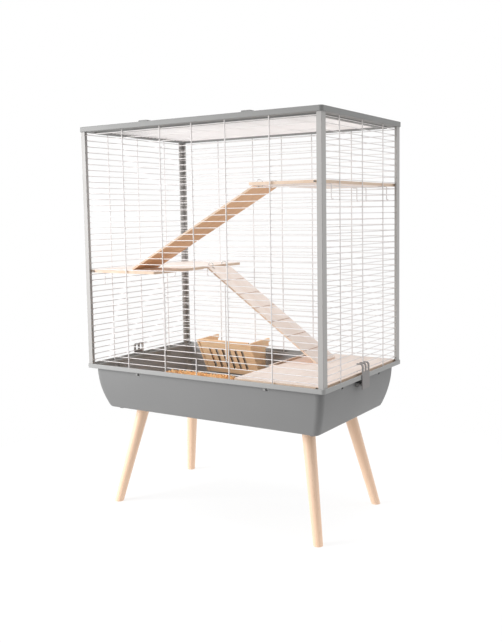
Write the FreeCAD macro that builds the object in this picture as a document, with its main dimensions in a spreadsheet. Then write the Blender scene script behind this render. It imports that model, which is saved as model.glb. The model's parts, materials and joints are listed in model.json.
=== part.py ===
"""Rodent cage on wooden legs: a plastic tub, a wire house with a lifting roof, boards, ramps and a hay rack.

Millimetres. +Z is up, +Y is the back, and the origin is on the floor under the middle of the cage.
"""
import FreeCAD, Part
import math
import os
import Sketcher
from FreeCAD import Placement, Rotation, Vector

# Driving sizes: name, value, what it measures
SIZES = [
    ("cage_width", 775, "outside length of the plastic frames, along X"),
    ("cage_depth", 475, "outside depth of the plastic frames, along Y"),
    ("leg_height", 287, "floor to the underside of the tub"),
    ("tub_height", 119, "underside to rim of the tub"),
    ("tub_inset", 16, "frame's outer face to the tub's wall at the rim"),
    ("tub_bulge", 285, "radius of the tub's arched walls"),
    ("tub_wall", 3, "tub wall and floor thickness"),
    ("tub_corner", 18, "radius of the tub's upright corners"),
    ("tub_base_round", 12, "radius round the tub's base"),
    ("tub_foot_radius", 13, "moulded foot under the tub"),
    ("tub_foot_tip", 8, "moulded foot at its lower end, radius"),
    ("tub_foot_drop", 6, "how far the moulded foot stands down"),
    ("tub_foot_inset_x", 69.5, "frame's end to the moulded foot"),
    ("tub_foot_inset_y", 69.5, "frame's front or back to the moulded foot"),
    ("leg_inset_x", 111.5, "frame's end to the leg's axis at the tub"),
    ("leg_inset_y", 119.5, "frame's front or back to the leg's axis at the tub"),
    ("leg_splay", 59, "how far a leg's foot stands out beyond its top, each way"),
    ("leg_top_radius", 18, "leg radius at the tub"),
    ("leg_foot_radius", 12.5, "leg radius at the floor"),
    ("stud_radius", 4, "leg stud"),
    ("stud_in_leg", 45, "length of stud in the leg"),
    ("stud_in_tub", 17, "length of stud in the tub's socket"),
    ("socket_radius", 14, "outside of the tub's leg socket"),
    ("socket_height", 22, "leg socket's length above the tub's underside, along the leg"),
    ("rail_height", 12, "height of the lower frame"),
    ("rail_width", 24, "width of the lower frame"),
    ("channel_width", 13, "channel in the lower frame, where the posts and wire panels stand"),
    ("channel_drop", 7, "lower frame's top to the floor of that channel"),
    ("ledge_drop", 5, "lower frame's top to its inner ledge, which carries the lower board"),
    ("ledge_thick", 3, "thickness of the upper frame's ledge"),
    ("bars_height", 660.5, "lower frame to upper frame"),
    ("roof_height", 14, "height of the upper frame"),
    ("roof_width", 24, "width of the upper frame"),
    ("roof_ledge", 6, "inner ledge of the upper frame, which carries the lid"),
    ("frame_corner", 9, "rounding of the frames' outer corners"),
    ("frame_edge", 1.5, "rounding of the frames' outer edges"),
    ("lug_x", 211, "snap lug's place from the middle, along the front and back"),
    ("lug_y", 113, "snap lug's place from the middle, along the sides"),
    ("lug_width", 22, "width of a snap lug's plate"),
    ("lug_nose", 8, "width of a snap lug's nose, which sits at one end of the tub's slot"),
    ("lug_drop", 16, "how far a snap lug hangs below the lower frame"),
    ("lug_thick", 2, "thickness of a snap lug"),
    ("catch_slot", 18, "width of the tub's slot for a snap lug"),
    ("slot_height", 7, "height of the tub's slot for a snap lug"),
    ("slot_drop", 4, "rim to the top of that slot"),
    ("post_inset", 4, "frame's outer face to the post's outer face"),
    ("post_wall", 3, "thickness of a corner post"),
    ("post_front", 14, "width of a post's front or back face"),
    ("post_side", 21, "width of a post's side face"),
    ("panel_inset", 12, "frame's outer face to the level bars' axis"),
    ("bar_radius", 1, "level bars"),
    ("upright_radius", 1.5, "upright bars"),
    ("bar_pitch", 16.5, "level bars' spacing"),
    ("first_bar", 10, "lower frame's top to the first level bar"),
    ("upright_near", 105, "inner uprights of the front and back, from the middle"),
    ("upright_far", 236, "outer uprights of the front and back, from the middle"),
    ("upright_side", 130, "outer uprights of the sides, from the middle"),
    ("door_first_number", 3, "number of the level bar at the door's foot, from 0"),
    ("door_last_number", 14, "number of the level bar at the door's head"),
    ("door_side_gap", 5.5, "doorway upright to the door's own edge wire"),
    ("door_reach", 14, "how far the door's free edge wire hangs below its foot"),
    ("hinge_loop_radius", 1, "wire of the door's hinge loops"),
    ("lid_rise", 2.5, "how far the lid stands above the upper frame"),
    ("lid_drop", 5, "how far the lid hangs below the upper frame"),
    ("lid_width", 20, "width of the lid's frame at the top"),
    ("lid_hinge_x", 250, "outer lid hinges from the middle"),
    ("lid_axis_rise", 1, "lid's top to the axis of its hinges"),
    ("lid_pin_radius", 1.5, "lid hinge pin"),
    ("lid_knuckle_radius", 3.2, "lid hinge knuckle"),
    ("lid_knuckle_length", 22, "length of the lid's knuckle"),
    ("lid_ear_length", 6, "length of each hinge ear on the upper frame"),
    ("catch_x", 166, "lid catch's place from the middle"),
    ("catch_length", 30, "lid catch along X"),
    ("catch_depth", 18, "lid catch along Y"),
    ("catch_thick", 3, "lid catch above the lid"),
    ("catch_round", 2.7, "rounding of the lid catch's ends"),
    ("clip_offset", -7, "middle of the latch clips along Y"),
    ("clip_width", 44, "latch clip along Y"),
    ("clip_thick", 2.2, "latch clip's plate"),
    ("clip_finger", 8, "width of each of the three fingers"),
    ("clip_bar_number", 1, "number of the level bar that the fingers hold, from 0"),
    ("clip_tail", 12, "pivot to the clip's lower end"),
    ("clip_bend", 6, "inner radius of the fingers' bend"),
    ("clip_slot_drop", 20, "how far the slots between the fingers reach down the plate"),
    ("clip_pivot_drop", 14, "tub's rim to the clip's pivot"),
    ("clip_pivot_out", 5.2, "tub's wall to the clip's pivot"),
    ("clip_barrel_radius", 4.5, "latch clip's barrel"),
    ("clip_pin_radius", 2, "latch clip's pin"),
    ("clip_ear", 4, "width of the tub's ears that hold the pin"),
    ("clip_ear_wall", 2.5, "ear's wall round the pin"),
    ("board_thick", 7.5, "boards"),
    ("board_corner", 4, "rounding of the boards' corners"),
    ("board_notch", 17, "notch in a board's free edge, where a ramp hangs"),
    ("middle_board_width", 236, "middle board along X"),
    ("upper_board_width", 220, "upper board along X"),
    ("lower_board_width", 274, "lower board along X"),
    ("board_step_y", 5, "where a board's notch starts, from the middle, along Y"),
    ("floor_step_y", -25, "where the lower board's notch ends, from the middle, along Y"),
    ("slot_length", 200, "lift slot in the lower board"),
    ("slot_width", 18, "width of the lift slot"),
    ("slot_strip", 6, "wood left outside the lift slot"),
    ("board_pin_radius", 2, "steel pins in the boards' outer corners"),
    ("board_pin_inset", 14, "board's outer end to those pins"),
    ("board_pin_depth", 12, "length of a pin in its board"),
    ("board_pin_out", 5, "length of a pin outside its board, between two level bars"),
    ("bracket_radius", 1.25, "bent wire of the board brackets"),
    ("bracket_bend", 2, "bend radius of the brackets' axis"),
    ("bracket_bar_number", 13, "number of the level bar that carries the middle board, from 0"),
    ("bracket_rise", 39.5, "that bar to the underside of its board"),
    ("board_rise_count", 14, "level bars from the middle board up to the upper board"),
    ("bracket_arm", 26, "how far a bracket reaches under its board"),
    ("bracket_pair", 29, "spacing of the two back brackets"),
    ("bracket_back_x", 270, "back brackets' middle from the cage's middle"),
    ("bracket_side_y", 166, "side brackets from the middle"),
    ("ramp_width", 112, "ramps along Y"),
    ("ramp_thick", 5, "ramps"),
    ("ramp_head", 4, "ramp's end above its pivot, along the ramp"),
    ("groove_pitch", 66, "spacing of the ramps' cross grooves"),
    ("groove_width", 1.6, "cross groove"),
    ("groove_depth", 1.2, "cross groove"),
    ("upper_ramp_inset", 101.5, "frame's front to the middle of the upper ramp"),
    ("upper_ramp_run", 406, "upper ramp from pivot to foot, along X"),
    ("lower_ramp_inset", 139.5, "frame's back to the middle of the lower ramp"),
    ("lower_ramp_run", 362, "lower ramp from pivot to foot, along X"),
    ("hanger_radius", 1.25, "bent wire that hangs a ramp"),
    ("hanger_out", 8, "board's edge to the hanger's rod"),
    ("hanger_in", 8, "board's edge to the hanger's hole in the board"),
    ("hanger_drop", 2, "board's underside to the hanger's rod"),
    ("hanger_half", 35, "hanger's arches from the middle of its ramp"),
    ("hanger_notch", 9, "width of the notches in a ramp's head round the arches"),
    ("hanger_bend", 5, "bend radius of the hanger's axis"),
    ("hanger_arch", 8, "hanger's axis above the board"),
    ("rack_left", -255, "hay rack's left face"),
    ("rack_width", 202, "hay rack along X"),
    ("rack_clearance", 8.5, "lower frame's inner edge to the rack"),
    ("rack_top_depth", 90, "rack's depth at its front's top edge, from its back below the frame"),
    ("rack_foot_depth", 32, "rack's depth at its foot"),
    ("rack_rise", 42, "tub's rim to the top of the rack's front edge"),
    ("rack_drop", 68, "tub's rim to the foot of the rack's front edge"),
    ("rack_base_drop", 62, "tub's rim to the underside of the rack's base"),
    ("rack_wood", 7, "rack's side panels"),
    ("rack_panel", 5, "rack's front panel"),
    ("rack_recess", 2, "sides' front edges to the front panel, which is set between them"),
    ("rack_bar_number", 1, "number of the level bar that carries the rack, from 0"),
    ("rack_hook", 6, "depth of the rack's hooks over that bar"),
    ("rack_slot_count", 6, "slots in the rack's front"),
    ("rack_slot_width", 9, "slot in the rack's front"),
    ("rack_slot_length", 74, "slot in the rack's front"),
    ("rack_slot_foot", 18, "foot of the rack's front to its slots"),
    ("rack_slot_pitch", 24, "spacing of the slots"),
    ("heap_gap_x", 8, "front left leg's socket to the bedding heap"),
    ("heap_gap_y", 59.5, "frame's front to the bedding heap"),
    ("heap_length", 305, "bedding heap along X"),
    ("heap_depth", 165, "bedding heap along Y"),
    ("heap_height", 90, "bedding heap above the tub's floor"),
    ("heap_corner", 70, "rounding of the heap's upright corners"),
    ("heap_round", 58, "rounding of the heap's top"),
    ("touch_gap", 0.3, "clearance between pieces that move past each other"),
    ("slip", 0.05, "radial clearance of a turning fit"),
    ("seat_gap", 0.1, "clearance between pieces that are put together and stay"),
]

# Sizes that follow from the driving ones
DERIVED = [
    ("rim_z", "leg_height + tub_height"),
    ("rail_top", "rim_z + rail_height"),
    ("rack_top_z", "rim_z + rack_rise"),
    ("rack_foot_z", "rim_z - rack_drop"),
    ("rack_base_z", "rim_z - rack_base_drop"),
    ("upper_ramp_y", "upper_ramp_inset - cage_depth / 2"),
    ("lower_ramp_y", "cage_depth / 2 - lower_ramp_inset"),
    ("roof_z", "rail_top + bars_height"),
    ("roof_top", "roof_z + roof_height"),
    ("lid_top", "roof_top + lid_rise"),
    ("leg_top_x", "cage_width / 2 - leg_inset_x"),
    ("leg_top_y", "cage_depth / 2 - leg_inset_y"),
    ("leg_foot_x", "leg_top_x + leg_splay"),
    ("leg_foot_y", "leg_top_y + leg_splay"),
    ("tub_foot_x", "cage_width / 2 - tub_foot_inset_x"),
    ("tub_foot_y", "cage_depth / 2 - tub_foot_inset_y"),
    ("tub_x", "cage_width / 2 - tub_inset"),
    ("tub_y", "cage_depth / 2 - tub_inset"),
    ("bars_x", "cage_width / 2 - panel_inset"),
    ("bars_y", "cage_depth / 2 - panel_inset"),
    ("upright_out", "bar_radius + upright_radius"),
    ("bar_end_x", "cage_width / 2 - post_inset - post_wall"),
    ("bar_end_y", "bars_y - bar_radius - seat_gap"),
    ("bar_z", "rail_top + first_bar"),
    ("door_out", "upright_out + 2 * upright_radius + touch_gap"),
    ("door_half", "upright_near - door_side_gap"),
    ("door_low_z", "bar_z + door_first_number * bar_pitch"),
    ("door_high_z", "bar_z + door_last_number * bar_pitch"),
    ("board_x", "bars_x - bar_radius - touch_gap"),
    ("board_y", "bars_y - bar_radius - touch_gap"),
    ("floor_z", "rail_top - ledge_drop"),
    ("panel_foot", "rail_top - channel_drop"),
    ("panel_height", "bars_height + channel_drop"),
    ("middle_board_z", "bar_z + bracket_bar_number * bar_pitch + bracket_rise"),
    ("upper_board_z", "middle_board_z + board_rise_count * bar_pitch"),
    ("lid_back", "cage_depth / 2 - roof_width - touch_gap"),
    ("lid_side", "cage_width / 2 - roof_width - touch_gap"),
    ("lid_thick", "lid_top - roof_z - ledge_thick"),
    ("lid_skirt", "lid_drop + ledge_thick"),
    ("lid_axis_y", "cage_depth / 2 - roof_width"),
    ("lid_axis_z", "lid_top + lid_axis_rise"),
    ("clip_pivot_x", "tub_x + clip_pivot_out"),
    ("clip_pivot_z", "rim_z - clip_pivot_drop"),
    ("clip_plate_x", "cage_width / 2 + 2 * touch_gap"),
    ("clip_under_z", "bar_z + clip_bar_number * bar_pitch + bar_radius + touch_gap"),
    ("clip_tip_x", "bars_x - upright_out"),
    ("rack_bar_z", "bar_z + rack_bar_number * bar_pitch"),
    ("rack_wall_y", "bars_y - bar_radius - touch_gap"),
    ("rack_back_y", "cage_depth / 2 - rail_width - rack_clearance"),
    ("rack_front_y", "rack_back_y - rack_top_depth"),
    ("rack_foot_y", "rack_back_y - rack_foot_depth"),
    ("rack_room", "rack_width - 2 * rack_wood"),
    ("heap_left", "socket_radius + heap_gap_x - leg_top_x"),
    ("heap_front", "heap_gap_y - cage_depth / 2"),
]

doc = FreeCAD.newDocument("rodent_cage")
sheet = doc.addObject("Spreadsheet::Sheet", "Sizes")
for row, (name, value, note) in enumerate(SIZES, start=1):
    sheet.set("A%d" % row, note)
    sheet.set("B%d" % row, str(value))
    sheet.setAlias("B%d" % row, name)
for row, (name, formula) in enumerate(DERIVED, start=len(SIZES) + 2):
    sheet.set("A%d" % row, name.replace("_", " "))
    sheet.set("B%d" % row, "=" + formula)
    sheet.setAlias("B%d" % row, name)
doc.recompute()

ALIASES = sorted([entry[0] for entry in SIZES + DERIVED], key=len, reverse=True)
SIDES = (("left", -1), ("right", 1))
ENDS = (("front", -1), ("back", 1))
ALONG = {
    "X": Rotation(Vector(0, 1, 0), 90),
    "Y": Rotation(Vector(1, 0, 0), -90),
    "Z": Rotation(),
}
subparts = []


def size(name):
    """A size from the sheet, as a plain number."""
    return float(sheet.get(name))


def formula(text):
    """Turn words of the sheet into an expression that another object can hold."""
    words = str(text).replace("(", " ( ").replace(")", " ) ").split()
    return " ".join("Sizes." + word if word in ALIASES else word for word in words)


def bind(obj, **formulas):
    """Bind properties to formulas; a double underscore stands for the dot in Placement.Base.x."""
    for name, text in formulas.items():
        obj.setExpression(name.replace("__", "."), formula(text))
    return obj


def place(obj, x=0, y=0, z=0):
    return bind(obj, Placement__Base__x=x, Placement__Base__y=y, Placement__Base__z=z)


def keep(obj, label):
    """Name a finished sub-part."""
    obj.Label = label
    subparts.append(obj)
    return obj


def box(x, y, z, length, width, height):
    block = doc.addObject("Part::Box", "block")
    bind(block, Length=length, Width=width, Height=height)
    return place(block, x, y, z)


def sided_box(side, x, y, z, length, width, height):
    """A block given for the right side of the cage, or its mirror image on the left."""
    start = x if side > 0 else "0 - ( %s ) - ( %s )" % (x, length)
    return box(start, y, z, length, width, height)


def rod(axis, x, y, z, length, radius):
    """A straight round bar that starts at (x, y, z) and runs along one axis."""
    bar = doc.addObject("Part::Cylinder", "bar")
    bar.Placement = Placement(Vector(), ALONG[axis])
    bind(bar, Radius=radius, Height=length)
    return place(bar, x, y, z)


def group(members):
    bundle = doc.addObject("Part::Compound", "bundle")
    bundle.Links = members
    return bundle


def fuse(members):
    joined = doc.addObject("Part::MultiFuse", "joined")
    joined.Shapes = members
    joined.Refine = True
    return joined


def cut(base, tools):
    left = doc.addObject("Part::Cut", "left")
    left.Base = base
    left.Tool = tools[0] if len(tools) == 1 else fuse(tools)
    left.Refine = True
    return left


def rounded(base, radius, wanted):
    """Round the edges of a finished piece that the test picks."""
    doc.recompute()
    rounding = doc.addObject("Part::Fillet", "rounding")
    rounding.Base = base
    picked = [n for n, edge in enumerate(base.Shape.Edges, start=1) if wanted(edge)]
    rounding.Edges = [(n, radius, radius) for n in picked]
    return rounding


def solid(label, shape):
    """A piece whose form comes straight from the geometry functions."""
    piece = doc.addObject("Part::Feature", "piece")
    piece.Shape = shape
    return keep(piece, label)


def new_body(name):
    return doc.addObject("PartDesign::Body", name)


def new_sketch(body, plane):
    sketch = body.newObject("Sketcher::SketchObject", "sketch")
    origin_plane = [f for f in body.Origin.OriginFeatures if f.Role == plane][0]
    sketch.AttachmentSupport = (origin_plane, "")
    sketch.MapMode = "FlatFace"
    return sketch


def tie_point(sketch, geometry, point, x, y):
    """Tie one point of a sketch to its place, measured from the sketch's origin."""
    for kind, text, axis in (("DistanceX", x, -2), ("DistanceY", y, -1)):
        if text == 0:
            sketch.addConstraint(Sketcher.Constraint("PointOnObject", geometry, point, axis))
            continue
        index = sketch.addConstraint(Sketcher.Constraint(kind, -1, 1, geometry, point, 1.0))
        sketch.setExpression("Constraints[%d]" % index, formula(text))


def outline(sketch, corners):
    """Draw a closed outline whose corners are given as pairs of formulas."""
    first = sketch.GeometryCount
    count = len(corners)
    for n in range(count):
        turn = 2 * math.pi * n / count
        here = Vector(math.cos(turn), math.sin(turn), 0)
        turn += 2 * math.pi / count
        there = Vector(math.cos(turn), math.sin(turn), 0)
        sketch.addGeometry(Part.LineSegment(here, there), False)
    for n in range(count):
        after = first + (n + 1) % count
        sketch.addConstraint(Sketcher.Constraint("Coincident", first + n, 2, after, 1))
    for n, (x, y) in enumerate(corners):
        tie_point(sketch, first + n, 1, x, y)


def ring(sketch, x, y, radius):
    """Draw a circle with its middle and radius given as formulas."""
    index = sketch.addGeometry(Part.Circle(Vector(1, 1, 0), Vector(0, 0, 1), 1.0), False)
    tie_point(sketch, index, 3, x, y)
    radius_index = sketch.addConstraint(Sketcher.Constraint("Radius", index, 1.0))
    sketch.setExpression("Constraints[%d]" % radius_index, formula(radius))


def pad(body, sketch, length, symmetric=False, back=False):
    feature = body.newObject("PartDesign::Pad", "pad")
    feature.Profile = sketch
    feature.Reversed = back
    if symmetric:
        feature.SideType = "Symmetric"
    return bind(feature, Length=length)


def pocket(body, sketch, length, back=False, symmetric=False):
    feature = body.newObject("PartDesign::Pocket", "pocket")
    feature.Profile = sketch
    feature.Reversed = back
    if symmetric:
        feature.SideType = "Symmetric"
    return bind(feature, Length=length)


def soften(body, base, radius, wanted):
    """Round the chosen edges of a body."""
    doc.recompute()
    names = ["Edge%d" % n for n, edge in enumerate(base.Shape.Edges, start=1) if wanted(edge)]
    feature = body.newObject("PartDesign::Fillet", "fillet")
    feature.Base = (base, names)
    bind(feature, Radius=radius)
    body.Tip = feature
    return feature


def upright(edge):
    """True for a straight edge along Z."""
    if not isinstance(edge.Curve, Part.Line):
        return False
    return abs(edge.tangentAt(edge.FirstParameter).z) > 0.999


def bent_wire(points, radius, bend):
    """One unbroken round wire along straight runs that are joined by arcs of one bend radius."""
    points = [Vector(*p) for p in points]
    edges = []
    start = points[0]
    for n in range(1, len(points) - 1):
        arriving = (points[n] - points[n - 1]).normalize()
        leaving = (points[n + 1] - points[n]).normalize()
        half = arriving.getAngle(leaving) / 2
        setback = bend * math.tan(half)
        enter = points[n] - arriving * setback
        leave = points[n] + leaving * setback
        inward = (leaving - arriving).normalize()
        middle = points[n] + inward * (bend / math.cos(half) - bend)
        if (enter - start).Length > 1e-6:
            edges.append(Part.LineSegment(start, enter).toShape())
        edges.append(Part.Arc(enter, middle, leave).toShape())
        start = leave
    edges.append(Part.LineSegment(start, points[-1]).toShape())
    path = Part.Wire(edges)
    heading = (points[1] - points[0]).normalize()
    section = Part.Wire(Part.makeCircle(radius, points[0], heading))
    tube = path.makePipeShell([section], True, False)
    expected = math.pi * radius ** 2 * path.Length
    if abs(tube.Volume / expected - 1) > 0.02:
        raise RuntimeError("bent wire has the wrong volume")
    return tube


# Tub
def arched_block(half_x, half_y, low, high, bulge, corner, base_round):
    """Tub form: two prisms with arched sides, crossed, with their upright corners and base rounded."""
    rise = high - low

    def prism(half, reach, along_y):
        foot = half - bulge + math.sqrt(bulge ** 2 - rise ** 2)
        lean = math.asin(rise / bulge) / 2
        waist = half - bulge + bulge * math.cos(lean)
        waist_z = high - bulge * math.sin(lean)

        def at(across, z):
            return Vector(across, -reach, z) if along_y else Vector(-reach, across, z)
        edges = [
            Part.LineSegment(at(-foot, low), at(foot, low)).toShape(),
            Part.Arc(at(foot, low), at(waist, waist_z), at(half, high)).toShape(),
            Part.LineSegment(at(half, high), at(-half, high)).toShape(),
            Part.Arc(at(-half, high), at(-waist, waist_z), at(-foot, low)).toShape(),
        ]
        sweep = Vector(0, 2 * reach, 0) if along_y else Vector(2 * reach, 0, 0)
        return Part.Face(Part.Wire(edges)).extrude(sweep)

    block = prism(half_x, 2 * half_y, True).common(prism(half_y, 2 * half_x, False))
    corners = []
    for edge in block.Edges:
        ends = [v.Z for v in edge.Vertexes]
        if max(ends) - min(ends) > rise / 2:
            corners.append(edge)
    block = block.makeFillet(corner, corners)
    base = [e for e in block.Edges if all(abs(v.Z - low) < 1e-6 for v in e.Vertexes)]
    return block.makeFillet(base_round, base)


def leg_line(side, end):
    """Foot, top and direction of one leg's axis."""
    foot = Vector(side * size("leg_foot_x"), end * size("leg_foot_y"), 0)
    top = Vector(side * size("leg_top_x"), end * size("leg_top_y"), size("leg_height"))
    return foot, top, (top - foot).normalize()


def clip_ears(side):
    """Two ears on the tub's end wall that hold a latch clip's pin, as one solid each."""
    x_in = size("tub_x") - size("tub_wall")
    half = size("clip_pin_radius") + size("clip_ear_wall")
    x_out = size("clip_pivot_x") + half
    z = size("clip_pivot_z")
    ears = []
    for end in (-1, 1):
        near = size("clip_offset") + end * (size("clip_width") / 2 + size("touch_gap"))
        far = near + end * size("clip_ear")
        low = min(near, far)
        ear = Part.makeBox(x_out - x_in, size("clip_ear"), 2 * half, Vector(x_in, low, z - half))
        ears.append(ear if side > 0 else ear.mirror(Vector(), Vector(1, 0, 0)))
    return ears


def make_tub():
    wall = size("tub_wall")
    low, high = size("leg_height"), size("rim_z")
    half_x, half_y, bulge = size("tub_x"), size("tub_y"), size("tub_bulge")
    corner, base_round = size("tub_corner"), size("tub_base_round")
    outer = arched_block(half_x, half_y, low, high, bulge, corner, base_round)
    inner = arched_block(half_x - wall, half_y - wall, low + wall, high, bulge - wall, corner - wall,
                         base_round - wall)
    tub = outer.cut(inner)
    holes = []
    for _, side in SIDES:
        tub = tub.fuse(clip_ears(side))
        pin = Part.makeCylinder(size("clip_pin_radius"), size("cage_depth"),
                                Vector(side * size("clip_pivot_x"), -size("cage_depth") / 2,
                                       size("clip_pivot_z")), Vector(0, 1, 0))
        holes.append(pin)
        for _, end in ENDS:
            foot, top, way = leg_line(side, end)
            socket = Part.makeCylinder(size("socket_radius"), 2 * size("socket_height"),
                                       top - way * size("socket_height"), way)
            above = Part.makeBox(4 * half_x, 4 * half_y, size("tub_height"),
                                 Vector(-2 * half_x, -2 * half_y, low))
            tub = tub.fuse(socket.common(above))
            holes.append(Part.makeCylinder(size("stud_radius") + size("seat_gap"),
                                           size("stud_in_tub") + size("stud_in_leg"),
                                           top - way * size("stud_in_leg"), way))
            bump = Part.makeCone(size("tub_foot_tip"), size("tub_foot_radius"), size("tub_foot_drop"),
                                 Vector(side * size("tub_foot_x"), end * size("tub_foot_y"),
                                        low - size("tub_foot_drop")), Vector(0, 0, 1))
            tub = tub.fuse(bump)
    for place_of_slot, turn in lug_places():
        width, height = size("catch_slot"), size("slot_height")
        slot = Part.makeBox(width, 4 * wall, height,
                            Vector(-width / 2, -2 * wall, high - size("slot_drop") - height))
        slot.Placement = Placement(place_of_slot, turn).multiply(slot.Placement)
        holes.append(slot)
    tub = tub.cut(holes).removeSplitter()
    solid("tub", tub.Solids[0])


def lug_places():
    """Where the lower frame's snap lugs meet the tub's wall: a point on the rim line and a turn about Z."""
    places = []
    for across in (-1, 1):
        for out in (-1, 1):
            places.append((Vector(across * size("lug_x"), out * size("tub_y"), 0),
                           Rotation(Vector(0, 0, 1), 0 if out < 0 else 180)))
            places.append((Vector(out * size("tub_x"), across * size("lug_y"), 0),
                           Rotation(Vector(0, 0, 1), -90 if out < 0 else 90)))
    return places


# Legs and their studs
def make_leg(label, side, end):
    foot, top, way = leg_line(side, end)
    spare = size("leg_top_radius")
    length = (top - foot).Length
    taper = (size("leg_top_radius") - size("leg_foot_radius")) / length
    cone = doc.addObject("Part::Cone", "leg_cone")
    cone.Placement = Placement(foot - way * spare, Rotation(Vector(0, 0, 1), way))
    cone.Radius1 = size("leg_foot_radius") - taper * spare
    cone.Radius2 = size("leg_top_radius") + taper * spare
    cone.Height = length + 2 * spare
    slab = box("0 - cage_width", "0 - cage_depth", 0, "2 * cage_width", "2 * cage_depth", "leg_height")
    trimmed = doc.addObject("Part::Common", "leg_trim")
    trimmed.Base = cone
    trimmed.Tool = slab
    bore = doc.addObject("Part::Cylinder", "leg_bore")
    bore.Placement = Placement(top - way * size("stud_in_leg"), Rotation(Vector(0, 0, 1), way))
    bind(bore, Radius="stud_radius + seat_gap", Height="stud_in_leg * 2")
    keep(cut(trimmed, [bore]), label)


def make_legs():
    studs = []
    for end_name, end in ENDS:
        for side_name, side in SIDES:
            make_leg("leg_%s_%s" % (end_name, side_name), side, end)
            foot, top, way = leg_line(side, end)
            stud = doc.addObject("Part::Cylinder", "stud")
            stud.Placement = Placement(top - way * size("stud_in_leg"), Rotation(Vector(0, 0, 1), way))
            bind(stud, Radius="stud_radius", Height="stud_in_leg + stud_in_tub")
            studs.append(stud)
    keep(group(studs), "leg_studs")


# Plastic frames
def centred(length, width, z, height):
    """A block centred on the cage's middle line."""
    return box("0 - ( %s ) / 2" % length, "0 - ( %s ) / 2" % width, z, length, width, height)


def outer_upright(edge):
    middle = edge.CenterOfMass
    corner_x = abs(abs(middle.x) - size("cage_width") / 2) < 0.01
    corner_y = abs(abs(middle.y) - size("cage_depth") / 2) < 0.01
    return upright(edge) and corner_x and corner_y


def outer_rim(edge):
    """Edges that run round the outside of a frame, top and bottom."""
    box_of = edge.BoundBox
    if box_of.ZLength > 0.01:
        return False
    reach_x = max(abs(box_of.XMin), abs(box_of.XMax))
    reach_y = max(abs(box_of.YMin), abs(box_of.YMax))
    on_x = abs(reach_x - size("cage_width") / 2) < 0.01
    on_y = abs(reach_y - size("cage_depth") / 2) < 0.01
    straight_out = (on_x and box_of.XLength < 0.01) or (on_y and box_of.YLength < 0.01)
    return straight_out or (on_x and on_y)


def make_lower_frame():
    """A ring with a channel for the posts and wire panels, and inside it a ledge for the lower board."""
    outside = centred("cage_width", "cage_depth", "rim_z", "rail_height")
    within_lip = ("cage_width - 2 * post_inset", "cage_depth - 2 * post_inset")
    within_channel = [length + " - 2 * channel_width" for length in within_lip]
    seat = centred(*within_lip, "floor_z", "rail_height")
    ledge = centred(*within_channel, "rim_z", "2 * rail_height")
    channel = cut(centred(*within_lip, "panel_foot", "rail_height"), [ledge])
    mouth = centred("cage_width - 2 * rail_width", "cage_depth - 2 * rail_width", "rim_z - rail_height",
                    "3 * rail_height")
    frame = rounded(cut(outside, [seat, channel, mouth]), size("frame_corner"), outer_upright)
    frame = rounded(frame, size("frame_edge"), outer_rim)
    keep(fuse([frame] + snap_lugs()), "lower_frame")


def snap_lugs():
    """Plates that hang inside the tub's wall, each with a nose that sits in a slot of the wall."""
    gap = size("touch_gap")
    inside = size("tub_wall") + 3 * gap
    plate_corner = Vector(-size("lug_width") / 2, inside, size("rim_z") - size("lug_drop"))
    slot_foot = size("rim_z") - size("slot_drop") - size("slot_height")
    nose_corner = Vector(gap - size("catch_slot") / 2, gap, slot_foot + gap)
    lugs = []
    for spot, turn in lug_places():
        plate = doc.addObject("Part::Box", "plate")
        bind(plate, Length="lug_width", Width="lug_thick", Height="lug_drop")
        nose = doc.addObject("Part::Box", "nose")
        bind(nose, Length="lug_nose", Width="tub_wall + 3 * touch_gap", Height="slot_height - 2 * touch_gap")
        for piece, corner in ((plate, plate_corner), (nose, nose_corner)):
            piece.Placement = Placement(spot, turn).multiply(Placement(corner, Rotation()))
            lugs.append(piece)
    return lugs


def lid_hinge_places():
    return ["0 - lid_hinge_x", "0", "lid_hinge_x"]


def make_upper_frame():
    outside = centred("cage_width", "cage_depth", "roof_z", "roof_height")
    seat = centred("cage_width - 2 * roof_width", "cage_depth - 2 * roof_width", "roof_z + ledge_thick",
                   "roof_height")
    mouth = centred("cage_width - 2 * ( roof_width + roof_ledge )",
                    "cage_depth - 2 * ( roof_width + roof_ledge )", "roof_z - roof_height", "3 * roof_height")
    frame = rounded(cut(outside, [seat, mouth]), size("frame_corner"), outer_upright)
    frame = rounded(frame, size("frame_edge"), outer_rim)
    ears = []
    bores = []
    for middle in lid_hinge_places():
        for way in ("-", "+"):
            centre = "%s %s ( lid_knuckle_length + lid_ear_length + 2 * touch_gap ) / 2" % (middle, way)
            start = "%s - lid_ear_length / 2" % centre
            ears.append(rod("X", start, "lid_axis_y", "lid_axis_z", "lid_ear_length", "lid_knuckle_radius"))
            ears.append(box(start, "lid_axis_y", "roof_z + ledge_thick", "lid_ear_length", "lid_knuckle_radius",
                            "lid_axis_z - roof_z - ledge_thick"))
            bores.append(rod("X", start, "lid_axis_y", "lid_axis_z", "lid_ear_length", "lid_pin_radius"))
    keep(cut(fuse([frame] + ears), bores), "upper_frame")


def make_lid_side_rails():
    for side_name, side in SIDES:
        start, length = "0 - lid_back + lid_width", "2 * ( lid_back - lid_width )"
        inner = "lid_side - lid_width"
        flange = sided_box(side, inner, start, "roof_z + ledge_thick", "lid_width", length, "lid_thick")
        skirt = sided_box(side, inner, start, "roof_z - lid_drop", "lid_width - roof_ledge", length, "lid_skirt")
        keep(fuse([flange, skirt]), "lid_%s_rail" % side_name)


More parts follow.
